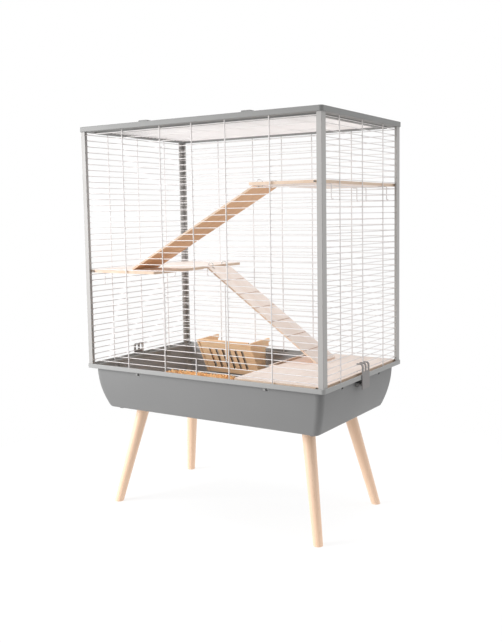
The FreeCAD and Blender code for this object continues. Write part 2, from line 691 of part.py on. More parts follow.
def long_rail(end):
    """A rail along the lid's front or back: a flange that lies on the ledge, and a skirt inside the ledge."""
    flange_y = "lid_back - lid_width" if end > 0 else "0 - lid_back"
    skirt_y = "lid_back - lid_width" if end > 0 else "0 - lid_back + roof_ledge"
    flange = box("0 - lid_side", flange_y, "roof_z + ledge_thick", "2 * lid_side", "lid_width", "lid_thick")
    skirt = box("0 - lid_side + roof_ledge", skirt_y, "roof_z - lid_drop", "2 * ( lid_side - roof_ledge )",
                "lid_width - roof_ledge", "lid_skirt")
    return fuse([flange, skirt])


def make_lid_back_rail():
    """The lid's hinged rail, with its knuckles between the upper frame's ears, and the hinge pins."""
    knuckles = []
    bores = []
    notches = []
    pins = []
    for middle in lid_hinge_places():
        start = "%s - lid_knuckle_length / 2" % middle
        knuckles.append(rod("X", start, "lid_axis_y", "lid_axis_z", "lid_knuckle_length", "lid_knuckle_radius"))
        bores.append(rod("X", start, "lid_axis_y", "lid_axis_z", "lid_knuckle_length", "lid_pin_radius + slip"))
        reach = "lid_knuckle_length / 2 + lid_ear_length + 2 * touch_gap"
        pins.append(rod("X", "%s - ( %s )" % (middle, reach), "lid_axis_y", "lid_axis_z", "2 * ( %s )" % reach,
                        "lid_pin_radius"))
        for way in ("-", "+"):
            centre = "%s %s ( lid_knuckle_length + lid_ear_length + 2 * touch_gap ) / 2" % (middle, way)
            notches.append(rod("X", "%s - lid_ear_length / 2 - touch_gap" % centre, "lid_axis_y", "lid_axis_z",
                               "lid_ear_length + 2 * touch_gap", "lid_knuckle_radius + touch_gap"))
    keep(cut(fuse([cut(long_rail(1), notches)] + knuckles), bores), "lid_back_rail")
    keep(group(pins), "lid_hinge_pins")


def make_lid():
    keep(long_rail(-1), "lid_front_rail")
    make_lid_back_rail()
    make_lid_side_rails()


def make_lid_catches():
    """Two tabs on the lid's front edge that reach over the upper frame."""
    tabs = []
    for _, side in SIDES:
        start = "%d * catch_x - catch_length / 2" % side
        front = "0 - lid_back - catch_depth / 2"
        top = box(start, front, "lid_top", "catch_length", "catch_depth", "catch_thick")
        lip = box(start, front, "roof_top + touch_gap", "catch_length", "catch_depth / 2 - touch_gap",
                  "lid_rise - touch_gap")
        tab = fuse([top, lip])
        tabs.append(rounded(tab, size("catch_round"), catch_crown))
    keep(group(tabs), "lid_catches")


def catch_crown(edge):
    """The two short top edges of a catch, which give it a domed outline from the front."""
    at_top = all(abs(v.Z - size("lid_top") - size("catch_thick")) < 0.01 for v in edge.Vertexes)
    return at_top and edge.BoundBox.XLength < 0.01


# Corner posts
def post_corner(edge):
    """The outer corner of a post that has not been placed yet."""
    middle = edge.CenterOfMass
    return upright(edge) and math.hypot(middle.x, middle.y) < 0.01


def make_posts():
    for end_name, end in ENDS:
        for side_name, side in SIDES:
            body = new_body("post_%s_%s" % (end_name, side_name))
            sketch = new_sketch(body, "XY_Plane")
            wide, deep = ("post_front", "post_side") if side * end > 0 else ("post_side", "post_front")
            outline(sketch, [(0, 0), (wide, 0), (wide, "post_wall"), ("post_wall", "post_wall"),
                             ("post_wall", deep), (0, deep)])
            bar = pad(body, sketch, "panel_height")
            soften(body, bar, "post_wall / 3", post_corner)
            turn = {(-1, -1): 0, (1, -1): 90, (1, 1): 180, (-1, 1): 270}[(side, end)]
            body.Placement = Placement(Vector(), Rotation(Vector(0, 0, 1), turn))
            place(body, "%d * ( cage_width / 2 - post_inset )" % side, "%d * ( cage_depth / 2 - post_inset )" % end,
                  "panel_foot")
            keep(body, body.Name)


# Wire panels
def bar_count():
    room = size("roof_z") - size("bar_z") - 2 * size("bar_radius")
    return int(room // size("bar_pitch")) + 1


def level_z(number):
    return "bar_z + %d * bar_pitch" % number


def make_front_grille():
    y = "0 - bars_y"
    upright_y = "0 - bars_y - upright_out"
    bars = []
    first, last = int(size("door_first_number")), int(size("door_last_number"))
    for number in range(bar_count()):
        if first <= number < last:
            length = "bar_end_x - upright_near + upright_radius"
            bars.append(rod("X", "0 - bar_end_x", y, level_z(number), length, "bar_radius"))
            bars.append(rod("X", "upright_near - upright_radius", y, level_z(number), length, "bar_radius"))
        else:
            bars.append(rod("X", "0 - bar_end_x", y, level_z(number), "2 * bar_end_x", "bar_radius"))
    for x in ("0 - upright_far", "0 - upright_near", "upright_near", "upright_far"):
        bars.append(rod("Z", x, upright_y, "panel_foot", "panel_height", "upright_radius"))
    sill = level_z(first - 1)
    head = level_z(last)
    bars.append(rod("Z", 0, upright_y, "panel_foot", "%s + bar_radius - panel_foot" % sill, "upright_radius"))
    above_door = "%s + bar_radius + touch_gap" % head
    bars.append(rod("Z", 0, upright_y, above_door, "roof_z - ( %s )" % above_door, "upright_radius"))
    keep(group(bars), "front_grille")


def make_back_grille():
    bars = []
    for number in range(bar_count()):
        bars.append(rod("X", "0 - bar_end_x", "bars_y", level_z(number), "2 * bar_end_x", "bar_radius"))
    for x in ("0 - upright_far", "0 - upright_near", "0", "upright_near", "upright_far"):
        bars.append(rod("Z", x, "bars_y + upright_out", "panel_foot", "panel_height", "upright_radius"))
    keep(group(bars), "back_grille")


def make_side_grilles():
    for side_name, side in SIDES:
        x = "%d * bars_x" % side
        bars = []
        for number in range(bar_count()):
            bars.append(rod("Y", x, "0 - bar_end_y", level_z(number), "2 * bar_end_y", "bar_radius"))
        for y in ("0 - upright_side", "0", "upright_side"):
            bars.append(rod("Z", "%d * ( bars_x + upright_out )" % side, y, "panel_foot", "panel_height",
                            "upright_radius"))
        keep(group(bars), side_name + "_grille")


def make_roof_grille():
    """Fine bars along the lid, with cross bars on top of them, held between the lid's inner faces."""
    z = "roof_z"
    length = "2 * ( lid_side - lid_width )"
    start = "0 - lid_side + lid_width"
    room = 2 * (size("lid_back") - size("lid_width")) - 2 * size("bar_radius")
    count = int(room // size("bar_pitch"))
    bars = []
    for number in range(count):
        y = "%.1f * bar_pitch" % (number - (count - 1) / 2)
        bars.append(rod("X", start, y, z, length, "bar_radius"))
    for x in ("0 - upright_far", "0 - upright_near", "0", "upright_near", "upright_far"):
        bars.append(rod("Y", x, "0 - lid_back + lid_width", z + " + upright_out", "2 * ( lid_back - lid_width )",
                        "upright_radius"))
    keep(group(bars), "roof_grille")


# Door
def make_door():
    y = "0 - bars_y - door_out"
    bar_y = "0 - bars_y - door_out + upright_out"
    height = "door_high_z - door_low_z + 2 * bar_radius"
    wires = [rod("Z", "0 - door_half", y, "door_low_z - bar_radius", height, "upright_radius"),
             rod("Z", 0, y, "door_low_z - bar_radius", height, "upright_radius"),
             rod("Z", "door_half", y, "door_low_z - bar_radius - door_reach", height + " + door_reach",
                 "upright_radius")]
    for number in range(int(size("door_first_number")), int(size("door_last_number")) + 1):
        wires.append(rod("X", "0 - door_half - upright_radius", bar_y, level_z(number),
                         "2 * ( door_half + upright_radius )", "bar_radius"))
    keep(group(wires), "front_door")
    make_door_loops()


def make_door_loops():
    """Two wire loops on the door's left edge, each round the doorway's left upright."""
    around = Vector(-size("upright_near"), -size("bars_y") - size("upright_out"), 0)
    edge = Vector(-size("door_half"), -size("bars_y") - size("door_out"), 0)
    wire = size("hinge_loop_radius")
    bend = size("upright_radius") + size("touch_gap") + wire
    reach = (edge - around).Length - size("upright_radius")
    loops = []
    for number in (size("door_first_number") + 1.5, size("door_last_number") - 1.5):
        z = size("bar_z") + number * size("bar_pitch")
        centre = around + Vector(0, 0, z)
        way = (edge - around).normalize()
        loop = Part.makeTorus(bend, wire, centre, Vector(0, 0, 1))
        arm = Part.makeCylinder(wire, reach - bend, centre + way * bend, way)
        loops.append(loop.fuse(arm).removeSplitter().Solids[0])
    solid("door_hinge_loops", Part.makeCompound(loops))


# Latch clips
def make_clip(label, side):
    """A plate that turns on a barrel under the frame and hooks three fingers over a level bar."""
    low_y = "clip_offset - clip_width / 2"
    low_z = "clip_pivot_z - clip_tail"
    plate = sided_box(side, "clip_plate_x", low_y, low_z, "clip_thick", "clip_width",
                      "clip_under_z + clip_thick - ( %s )" % low_z)
    crown = sided_box(side, "clip_tip_x", low_y, "clip_under_z", "clip_plate_x - clip_tip_x + clip_thick",
                      "clip_width", "clip_thick")
    form = fuse([plate, crown])
    inside, outside = size("clip_plate_x"), size("clip_plate_x") + size("clip_thick")
    under, top = size("clip_under_z"), size("clip_under_z") + size("clip_thick")

    def corner_at(x, z):
        def wanted(edge):
            return all(abs(abs(v.X) - x) < 0.01 and abs(v.Z - z) < 0.01 for v in edge.Vertexes)
        return wanted
    form = rounded(form, size("clip_bend") + size("clip_thick"), corner_at(outside, top))
    form = rounded(form, size("clip_bend"), corner_at(inside, under))
    gap = "( clip_width - 3 * clip_finger ) / 2"
    slots = []
    for number in (1, 2):
        slot_y = "%s + %d * clip_finger + %d * ( %s )" % (low_y, number, number - 1, gap)
        slots.append(sided_box(side, "clip_tip_x - clip_thick", slot_y, "clip_under_z - clip_slot_drop",
                               "clip_plate_x - clip_tip_x + 3 * clip_thick", gap, "2 * clip_slot_drop"))
    web = sided_box(side, "clip_pivot_x", low_y, "clip_pivot_z - clip_pin_radius",
                    "clip_plate_x - clip_pivot_x + clip_thick / 2", "clip_width", "2 * clip_pin_radius")
    pivot = ("%d * clip_pivot_x" % side, low_y, "clip_pivot_z", "clip_width")
    barrel = rod("Y", *pivot, "clip_barrel_radius")
    bore = rod("Y", *pivot, "clip_pin_radius + slip")
    keep(cut(fuse([cut(form, slots), web, barrel]), [bore]), label)


def make_clips():
    pins = []
    for side_name, side in SIDES:
        make_clip(side_name + "_clip", side)
        reach = "clip_width + 2 * touch_gap + 2 * clip_ear"
        pins.append(rod("Y", "%d * clip_pivot_x" % side, "clip_offset - ( %s ) / 2" % reach, "clip_pivot_z", reach,
                        "clip_pin_radius"))
    keep(group(pins), "clip_pins")


# Boards
def start_board(corners):
    body = new_body("slab")
    sketch = new_sketch(body, "XY_Plane")
    outline(sketch, corners)
    return body, pad(body, sketch, "board_thick")


def pin_x(side):
    return "%d * ( board_x - board_pin_inset )" % side


def finish_board(label, body, side, z):
    """Bore a board for the steel pins at its outer corners."""
    bores = []
    for start in ("0 - board_y", "board_y - board_pin_depth"):
        bores.append(rod("Y", pin_x(side), start, z + " + board_thick / 2", "board_pin_depth",
                         "board_pin_radius + seat_gap"))
    keep(cut(body, bores), label)


def make_board_pins():
    """Short pins that reach out between two level bars, so that the boards can't shift sideways."""
    pins = []
    length = "board_pin_depth + board_pin_out"
    for side, z in ((-1, "middle_board_z"), (1, "upper_board_z"), (1, "floor_z")):
        for start in ("0 - board_y - board_pin_out", "board_y - board_pin_depth"):
            pins.append(rod("Y", pin_x(side), start, z + " + board_thick / 2", length, "board_pin_radius"))
    keep(group(pins), "board_pins")


def drill(body, spots, radius):
    """Cut round holes down through a board."""
    sketch = new_sketch(body, "XY_Plane")
    for x, y in spots:
        ring(sketch, x, y, radius)
    return pocket(body, sketch, "2 * board_thick", symmetric=True)


def hanger_spots(x, middle, half_depth):
    """Two hanger holes in a board, one for each arch of the hanger."""
    return [(x, "%s + %s %s hanger_half" % (half_depth, middle, way)) for way in ("-", "+")]


def make_middle_board():
    wide, deep = "middle_board_width", "2 * board_y"
    inner = "middle_board_width - board_notch"
    step = "board_y + board_step_y"
    body, slab = start_board([(0, 0), (wide, 0), (wide, step), (inner, step), (inner, deep), (0, deep)])
    soften(body, slab, "board_corner", upright)
    drill(body, hanger_spots(inner + " - hanger_in", "lower_ramp_y", "board_y"), "hanger_radius + touch_gap")
    place(body, "0 - board_x", "0 - board_y", "middle_board_z")
    finish_board("middle_board", body, -1, "middle_board_z")


def make_upper_board():
    wide, deep = "upper_board_width", "2 * board_y"
    step = "board_y + board_step_y"
    body, slab = start_board([("board_notch", 0), (wide, 0), (wide, deep), (0, deep), (0, step),
                              ("board_notch", step)])
    soften(body, slab, "board_corner", upright)
    drill(body, hanger_spots("board_notch + hanger_in", "upper_ramp_y", "board_y"), "hanger_radius + touch_gap")
    place(body, "board_x - upper_board_width", "0 - board_y", "upper_board_z")
    finish_board("upper_board", body, 1, "upper_board_z")


def make_lower_board():
    """The floor board: it lies on the lower frame's ledge and has a lift slot along its free edge."""
    wide, deep = "lower_board_width", "2 * board_y"
    step = "board_y + floor_step_y"
    body, slab = start_board([("board_notch", 0), (wide, 0), (wide, deep), (0, deep), (0, step),
                              ("board_notch", step)])
    soften(body, slab, "board_corner", upright)
    near, far = "slot_strip", "slot_strip + slot_width"
    middle = "slot_strip + slot_width / 2"
    start = step + " + slot_width"
    end = start + " + slot_length - slot_width"
    sketch = new_sketch(body, "XY_Plane")
    outline(sketch, [(near, start), (far, start), (far, end), (near, end)])
    pocket(body, sketch, "2 * board_thick", symmetric=True)
    for y in (start, end):
        drill(body, [(middle, y)], "slot_width / 2")
    place(body, "board_x - lower_board_width", "0 - board_y", "floor_z")
    finish_board("lower_board", body, 1, "floor_z")


def make_brackets():
    """Bent wires that hook over a level bar and reach in under a board."""
    radius = size("bracket_radius")
    hook_drop = size("bracket_rise") - size("bar_radius") - 2 * radius
    arm = size("bracket_arm")
    through = 2 * size("bar_radius") + 3 * radius
    wire = bent_wire([(arm, 0, 0), (0, 0, 0), (0, 0, -hook_drop), (-through, 0, -hook_drop)], radius,
                     size("bracket_bend"))
    stand_off = size("bar_radius") + radius + size("seat_gap")
    face_x, face_y = size("bars_x") - stand_off, size("bars_y") - stand_off
    brackets = []
    for side, board in ((-1, "middle_board_z"), (1, "upper_board_z")):
        z = size(board) - radius
        spots = [(side * face_x, end * size("bracket_side_y"), 0 if side < 0 else 180) for end in (-1, 1)]
        for step in (-0.5, 0.5):
            spots.append((side * size("bracket_back_x") + step * size("bracket_pair"), face_y, 270))
        for x, y, turn in spots:
            bracket = wire.copy()
            bracket.Placement = Placement(Vector(x, y, z), Rotation(Vector(0, 0, 1), turn))
            brackets.append(bracket)
    solid("board_brackets", Part.makeCompound(brackets))


# Ramps
def make_ramp(label, side, middle, run, pivot_x, pivot_z, rest_z):
    """A grooved plank that turns on its hanger's rod and rests its foot on the board below."""
    half = size("ramp_thick") / 2
    drop = pivot_z - rest_z - size("touch_gap")
    length = math.sqrt(run ** 2 + drop ** 2 - half ** 2)
    slope = math.degrees(math.atan2(drop, run) - math.atan2(half, length))
    body = new_body(label)
    sketch = new_sketch(body, "XZ_Plane")
    whole = "ramp_head + %.4f" % length
    outline(sketch, [(0, 0), (whole, 0), (whole, "ramp_thick"), (0, "ramp_thick")])
    pad(body, sketch, "ramp_width", symmetric=True)
    eye = new_sketch(body, "XZ_Plane")
    ring(eye, "ramp_head", "ramp_thick / 2", "hanger_radius + touch_gap")
    pocket(body, eye, "2 * hanger_half", symmetric=True)
    notches = new_sketch(body, "XY_Plane")
    depth = "ramp_head + 3 * hanger_radius"
    for way in ("-", "+"):
        inner = "0 %s ( hanger_half - hanger_notch + 2 * hanger_radius )" % way
        outer = "0 %s ( hanger_half + 2 * hanger_radius )" % way
        outline(notches, [(0, inner), (depth, inner), (depth, outer), (0, outer)])
    pocket(body, notches, "4 * ramp_thick", symmetric=True)
    sketch = new_sketch(body, "XZ_Plane")
    near = "groove_pitch"
    far = "groove_pitch + groove_width"
    floor = "ramp_thick - groove_depth"
    outline(sketch, [(near, floor), (far, floor), (far, "ramp_thick + groove_depth"),
                     (near, "ramp_thick + groove_depth")])
    groove = pocket(body, sketch, "2 * ramp_width", symmetric=True)
    count = int((length - size("groove_pitch") / 2) // size("groove_pitch"))
    rows = body.newObject("PartDesign::LinearPattern", "grooves")
    rows.Originals = [groove]
    rows.Direction = (sketch, ["H_Axis"])
    rows.Occurrences = count
    bind(rows, Length="%d * groove_pitch" % (count - 1))
    body.Tip = rows
    turn = Rotation(Vector(0, 0, 1), 0 if side > 0 else 180).multiply(Rotation(Vector(0, 1, 0), slope))
    eye_place = Vector(size("ramp_head"), 0, half)
    body.Placement = Placement(Vector(pivot_x, middle, pivot_z) - turn.multVec(eye_place), turn)
    keep(body, label)


def make_hanger(label, side, middle, pivot_x, board_z):
    """A bent wire: a rod through the ramp's head, arched over the board's edge and down through it."""
    radius = size("hanger_radius")
    reach = size("hanger_half")
    inward = pivot_x - side * (size("hanger_out") + size("hanger_in"))
    low = board_z - 2 * radius
    arch = board_z + size("board_thick") + size("hanger_arch")
    rod_z = board_z - size("hanger_drop")
    half_path = [(inward, low), (inward, arch), (pivot_x, arch), (pivot_x, rod_z)]
    points = [(x, middle - reach, z) for x, z in half_path]
    points += [(x, middle + reach, z) for x, z in reversed(half_path)]
    solid(label, bent_wire(points, radius, size("hanger_bend")))


def make_ramps():
    upper_x = size("board_x") - size("upper_board_width") + size("board_notch") - size("hanger_out")
    lower_x = -size("board_x") + size("middle_board_width") - size("board_notch") + size("hanger_out")
    middle_top = size("middle_board_z") + size("board_thick")
    floor_top = size("floor_z") + size("board_thick")
    drop = size("hanger_drop")
    make_ramp("upper_ramp", -1, size("upper_ramp_y"), size("upper_ramp_run"), upper_x,
              size("upper_board_z") - drop, middle_top)
    make_hanger("upper_ramp_hanger", -1, size("upper_ramp_y"), upper_x, size("upper_board_z"))
    make_ramp("lower_ramp", 1, size("lower_ramp_y"), size("lower_ramp_run"), lower_x,
              size("middle_board_z") - drop, floor_top)
    make_hanger("lower_ramp_hanger", 1, size("lower_ramp_y"), lower_x, size("middle_board_z"))


# Hay rack
def rack_lean():
    """Length of the rack's front edges from foot to top, and their angle from level."""
    across = size("rack_front_y") - size("rack_foot_y")
    rise = size("rack_top_z") - size("rack_foot_z")
    return math.hypot(across, rise), math.atan2(rise, across)


def make_rack_front():
    """The slotted panel, set between the sides and a little behind their front edges."""
    body = new_body("rack_front")
    sketch = new_sketch(body, "XY_Plane")
    length, lean = rack_lean()
    top = "%.4f" % length
    outline(sketch, [(0, 0), ("rack_room", 0), ("rack_room", top), (0, top)])
    pad(body, sketch, "rack_panel")
    slots = new_sketch(body, "XY_Plane")
    low = "rack_slot_foot"
    high = "rack_slot_foot + rack_slot_length"
    count = int(size("rack_slot_count"))
    for number in range(count):
        near = "rack_room / 2 + %.1f * rack_slot_pitch - rack_slot_width / 2" % (number - (count - 1) / 2)
        far = near + " + rack_slot_width"
        outline(slots, [(near, low), (far, low), (far, high), (near, high)])
    pocket(body, slots, "4 * rack_panel", symmetric=True)
    body.Placement = Placement(Vector(), Rotation(Vector(1, 0, 0), math.degrees(lean)))
    place(body, "rack_left + rack_wood",
          "rack_foot_y + ( rack_recess + rack_panel ) * %.5f" % math.sin(lean),
          "rack_foot_z - ( rack_recess + rack_panel ) * %.5f" % math.cos(lean))
    keep(body, "rack_front")


def make_rack_sides():
    """Two side panels whose hooks reach out over a level bar of the back."""
    hook_low = "rack_bar_z + bar_radius + touch_gap"
    lip_low = hook_low + " - rack_hook"
    lip_in = "bars_y + bar_radius + 2 * touch_gap"
    lip_out = lip_in + " + rack_hook / 2"
    top = hook_low + " + rack_hook"
    step = "rail_top + rack_hook"
    corners = [("rack_front_y", "rack_top_z"), ("rack_foot_y", "rack_foot_z"), ("rack_back_y", "rack_base_z"),
               ("rack_back_y", step), ("rack_wall_y", step), ("rack_wall_y", hook_low), (lip_in, hook_low),
               (lip_in, lip_low), (lip_out, lip_low), (lip_out, top)]
    for side_name, x in (("left", "rack_left"), ("right", "rack_left + rack_width - rack_wood")):
        body = new_body("rack_%s_side" % side_name)
        sketch = new_sketch(body, "YZ_Plane")
        outline(sketch, corners)
        pad(body, sketch, "rack_wood")
        place(body, x)
        keep(body, body.Name)


def make_rack_base():
    """The strip behind the front panel's foot that closes the rack below."""
    _, lean = rack_lean()
    front = "rack_foot_y + ( rack_base_z - rack_foot_z ) * %.5f + ( rack_recess + rack_panel ) * %.5f" % (
        1 / math.tan(lean), 1 / math.sin(lean))
    keep(box("rack_left + rack_wood", front, "rack_base_z", "rack_room", "rack_back_y - ( %s )" % front,
             "rack_wood"), "rack_base")


# Bedding
def heap_rim(edge):
    """The edges round the top of the heap."""
    top = size("leg_height") + size("tub_wall") + size("heap_height")
    return all(abs(v.Z - top) < 0.01 for v in edge.Vertexes)


def make_bedding():
    """A heap with a flat, rounded top."""
    heap = box("heap_left", "heap_front", "leg_height + tub_wall", "heap_length", "heap_depth", "heap_height")
    heap = rounded(heap, size("heap_corner"), upright)
    keep(rounded(heap, size("heap_round"), heap_rim), "bedding")


# Build
make_tub()
make_legs()
make_lower_frame()
make_upper_frame()
make_lid()
make_lid_catches()
make_posts()
make_front_grille()
make_back_grille()
make_side_grilles()
make_roof_grille()
make_door()
make_clips()
make_middle_board()
make_upper_board()
make_lower_board()
make_board_pins()
make_brackets()
make_ramps()
make_rack_front()
make_rack_sides()
make_rack_base()
make_bedding()

doc.recompute()
for obj in doc.Objects:
    if "Invalid" in obj.State or "Error" in obj.State:
        raise RuntimeError("%s failed: %s" % (obj.Label, obj.State))
os.makedirs("parts", exist_ok=True)
for part in subparts:
    if part.Shape.isNull() or not part.Shape.isValid():
        raise RuntimeError("%s has no valid shape" % part.Label)
    part.Shape.exportStep("parts/%s.step" % part.Label)
    print("%-24s solids %3d  volume %10.0f" % (part.Label, len(part.Shape.Solids), part.Shape.Volume))
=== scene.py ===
"""Looks of the rodent cage: materials, loose shavings, studio light and the photo's camera. Metres."""
import json
import math
import bpy
import numpy as np
from mathutils import Matrix, Vector


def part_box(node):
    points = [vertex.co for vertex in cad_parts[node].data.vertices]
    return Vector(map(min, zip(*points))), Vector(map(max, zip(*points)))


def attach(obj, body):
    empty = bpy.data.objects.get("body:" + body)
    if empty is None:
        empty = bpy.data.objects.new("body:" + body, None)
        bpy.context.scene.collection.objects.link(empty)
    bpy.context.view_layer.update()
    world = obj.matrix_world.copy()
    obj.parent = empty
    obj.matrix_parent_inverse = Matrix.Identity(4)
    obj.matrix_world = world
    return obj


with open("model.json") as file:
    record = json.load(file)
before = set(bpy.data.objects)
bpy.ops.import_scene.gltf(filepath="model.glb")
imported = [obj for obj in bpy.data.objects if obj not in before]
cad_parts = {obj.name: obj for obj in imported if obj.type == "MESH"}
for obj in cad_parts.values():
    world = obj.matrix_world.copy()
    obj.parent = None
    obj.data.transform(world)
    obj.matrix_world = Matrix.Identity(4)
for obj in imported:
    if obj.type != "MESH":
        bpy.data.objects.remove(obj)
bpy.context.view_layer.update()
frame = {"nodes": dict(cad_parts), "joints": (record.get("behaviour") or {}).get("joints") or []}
nodes = frame["nodes"]
pivots = {joint["name"]: joint.get("pos_m") for joint in frame["joints"]}
WHITE = (1.0, 1.0, 1.0, 1.0)


def screen(red, green, blue):
    """A colour as seen on a screen, in steps of 255, as the linear values that shaders take."""
    parts = []
    for step in (red, green, blue):
        share = step / 255
        parts.append(share / 12.92 if share <= 0.04045 else ((share + 0.055) / 1.055) ** 2.4)
    return (*parts, 1.0)


def darker(colour, share):
    """A colour with its red, green and blue times share."""
    return (*(share * part for part in colour[:3]), 1.0)


class Value:
    """One output of a shader node. Arithmetic on it adds maths nodes to the same tree."""

    def __init__(self, paint, socket):
        self.paint = paint
        self.socket = socket

    def maths(self, operation, *others):
        return self.paint.node("ShaderNodeMath", (self, *others), operation=operation)

    def __add__(self, other):
        return self.maths("ADD", other)

    def __sub__(self, other):
        return self.maths("SUBTRACT", other)

    def __rsub__(self, other):
        return self.paint.node("ShaderNodeMath", (other, self), operation="SUBTRACT")

    def __mul__(self, other):
        return self.maths("MULTIPLY", other)

    __radd__, __rmul__ = __add__, __mul__


class Paint:
    """The nodes of one material, or of the world, added one by one."""

    def __init__(self, owner):
        owner.use_nodes = True
        self.owner = owner
        self.tree = owner.node_tree

    def plug(self, socket, given):
        if isinstance(given, Value):
            self.tree.links.new(given.socket, socket)
        else:
            socket.default_value = given

    def node(self, kind, inputs=(), output=0, **settings):
        """Add a node; inputs are given in order, or by name or number in a dict."""
        made = self.tree.nodes.new(kind)
        for name, setting in settings.items():
            setattr(made, name, setting)
        pairs = inputs.items() if isinstance(inputs, dict) else enumerate(inputs)
        for key, given in pairs:
            self.plug(made.inputs[key], given)
        return Value(self, made.outputs[output])

    def parts(self, coordinate):
        """The three parts of one of the piece's own coordinates."""
        spot = self.node("ShaderNodeTexCoord", output=coordinate)
        return [self.node("ShaderNodeSeparateXYZ", (spot,), output=n) for n in range(3)]

    def place(self):
        """Where the point is on the piece at rest: x, y and z."""
        return self.parts("Object")

    def facing(self):
        """Where the surface looks on the piece at rest: the shares along X, Y and Z."""
        return self.parts("Normal")

    def noise(self, x, y, z, scale, detail=2.0):
        """Cloudy noise from 0 to 1."""
        spot = self.node("ShaderNodeCombineXYZ", (x, y, z))
        return self.node("ShaderNodeTexNoise", {"Vector": spot, "Scale": scale, "Detail": detail},
                         output="Fac")

    def spread(self, value, low, high, new_low=0.0, new_high=1.0):
        """Stretch the values from low to high over a new range, and hold the others at its ends."""
        return self.node("ShaderNodeMapRange", (value, low, high, new_low, new_high), clamp=True)

    def blend(self, share, first, second):
        """A colour from first, at share 0, to second, at share 1."""
        return self.node("ShaderNodeMix", {0: share, 6: first, 7: second}, output=2, data_type="RGBA")

    def relief(self, height, depth):
        """A surface normal from a height from 0 to 1 that stands for depth metres."""
        return self.node("ShaderNodeBump", {"Strength": 1.0, "Distance": depth, "Height": height})

    def finish(self, **inputs):
        """Give a material's shader its inputs: underscores in the names stand for spaces."""
        shader = self.tree.nodes["Principled BSDF"]
        for name, given in inputs.items():
            self.plug(shader.inputs[name.replace("_", " ")], given)
        return self.owner


def new_paint(name):
    return Paint(bpy.data.materials.new(name))


def wear(material, *names):
    """Put one material on CAD nodes."""
    for name in names:
        mesh = nodes[name].data
        mesh.materials.clear()
        mesh.materials.append(material)


# The stretch of a noise in which most of its values lie
NOISE_MIDDLE = (0.3, 0.7)

# Plastics: a swing is how far the roughness goes either way
CLOUD_SCALE, CLOUD_SHADE = 6.0, 0.93
GRAIN_SCALE, GRAIN_DEPTH = 900.0, 0.00006
PLASTIC_SHINE, PLASTIC_SWING = 0.35, 0.05

# Painted light on inner faces: the distance out at which the paler inside colour is full, and the one that a
# face looking up counts as having
INSIDE_LIGHT_REACH, UP_REACH = 0.06, 0.2


def plastic(name, colour, roughness, inside=None):
    """Moulded plastic: an even colour with a fine grain and a faint cloudiness in its gloss.

    Inside is a paler colour of painted light. It stands for light on the faces that look up, or in towards
    the upright
    through the origin: there the surface normal times the place is below zero.
    """
    paint = new_paint(name)
    x, y, z = paint.place()
    cloud = paint.noise(x, y, z, CLOUD_SCALE)
    grain = paint.noise(x, y, z, GRAIN_SCALE, detail=1.0)
    tone = paint.blend(cloud, darker(colour, CLOUD_SHADE), colour)
    # Painted light: the faces that look up or inwards take the paler inside colour
    if inside:
        out_x, out_y, up = paint.facing()
        inside_light_share = paint.spread(up * UP_REACH - x * out_x - y * out_y, 0.0, INSIDE_LIGHT_REACH)
        tone = paint.blend(inside_light_share, tone, inside)
    return paint.finish(
        Base_Color=tone, Specular_IOR_Level=PLASTIC_SHINE,
        Roughness=paint.spread(cloud, *NOISE_MIDDLE, roughness - PLASTIC_SWING, roughness + PLASTIC_SWING),
        Normal=paint.relief(grain, GRAIN_DEPTH))


# The tub's inside colour is painted light on its inner faces and the faces that look up
wear(plastic("tub plastic", screen(132, 132, 132), roughness=0.5, inside=screen(172, 173, 176)), "tub")
wear(plastic("frame plastic", screen(164, 164, 163), roughness=0.5), "lower_frame")
wear(plastic("roof plastic", screen(136, 136, 135), roughness=0.5), "upper_frame", "lid_front_rail",
     "lid_back_rail", "lid_left_rail", "lid_right_rail", "lid_catches")
wear(plastic("post plastic", screen(176, 174, 172), roughness=0.5), "post_front_left", "post_front_right",
     "post_back_left", "post_back_right")
wear(plastic("clip plastic", screen(138, 134, 133), roughness=0.45), "left_clip", "right_clip")

# Metals
PEEL_SCALE, PEEL_DEPTH = 700.0, 0.00004
DULL_SCALE, DULL_ROUGHNESS = 120.0, (0.3, 0.45)


def coated_wire():
    """White powder coat with a slight orange-peel surface."""
    paint = new_paint("coated wire")
    peel = paint.noise(*paint.place(), PEEL_SCALE, detail=1.0)
    return paint.finish(Base_Color=screen(229, 225, 224), Roughness=0.38,
                        Normal=paint.relief(peel, PEEL_DEPTH))


def steel(name, colour):
    """Drawn steel wire and rod: metal with faint cloudy dulling."""
    paint = new_paint(name)
    dull = paint.noise(*paint.place(), DULL_SCALE)
    return paint.finish(Base_Color=colour, Metallic=1.0,
                        Roughness=paint.spread(dull, *NOISE_MIDDLE, *DULL_ROUGHNESS))


wear(coated_wire(), "front_grille", "back_grille", "left_grille", "right_grille", "roof_grille", "front_door",
     "door_hinge_loops", "board_brackets")
wear(steel("bare steel", screen(178, 176, 174)), "leg_studs", "lid_hinge_pins", "clip_pins",
     "upper_ramp_hanger", "lower_ramp_hanger")
wear(steel("dark steel", screen(92, 90, 88)), "board_pins")

# Woods: each pattern has a scale, a stretch along the grain and a detail
BANDS, FIBRES, FLECKS = (38.0, 0.06, 3.0), (420.0, 0.03, 2.0), (260.0, 0.16, 1.0)
BAND_MIDDLE, BAND_SHARE = (0.32, 0.68), 0.6
FLECK_PEAKS, FLECK_SHARE, FLECK_SHADE = (0.66, 0.74), 0.5, 0.86
FIBRE_DEPTH, WOOD_SWING = 0.00012, 0.06

# Shares along X or Z of where a face looks, over which the wood's colour gives way to a painted shade
LOOKS_SIDEWAYS, LOOKS_LEVEL = (0.5, 0.7), (0.3, 0.6)
LOOKS_DOWN, LOOKS_UP = (-0.7, -0.5), (0.4, 0.6)

